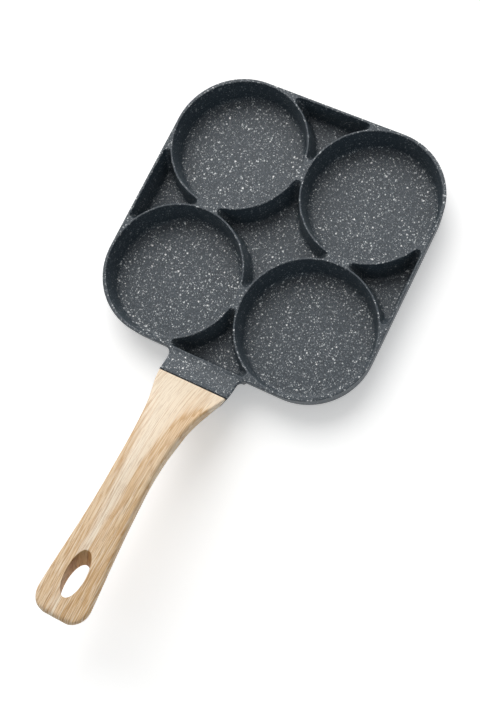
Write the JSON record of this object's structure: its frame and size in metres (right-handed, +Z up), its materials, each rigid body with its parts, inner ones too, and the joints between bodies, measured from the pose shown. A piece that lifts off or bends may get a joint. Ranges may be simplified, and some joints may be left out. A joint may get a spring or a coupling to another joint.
{
  "type": "divided frying pan",
  "caption": "Square shallow frying pan cast with round cups and small pockets between them, on a lug with a curved wooden handle that has a hanging hole.",
  "frame": {"origin": "the middle of the pan's flat base, on the plane it stands on", "axes": "+Z up out of the cups, -Y along the handle from the pan to its tail, X across the pan"},
  "size_m": [0.1862, 0.3602, 0.0642],
  "materials": {
    "pan_coating": "die-cast aluminium under a dark grey speckled stone-effect non-stick coating",
    "handle_wood": "pale oak, sanded and oiled",
    "gasket_silicone": "black heat-resistant silicone sheet",
    "screw_steel": "zinc-plated steel",
    "washer_steel": "zinc-plated steel"
  },
  "bodies": {
    "root": {"pan_body": "pan_coating", "handle": "handle_wood", "joint_gasket": "gasket_silicone", "handle_screw": "screw_steel", "screw_washer": "washer_steel"}
  },
  "joints": []
}
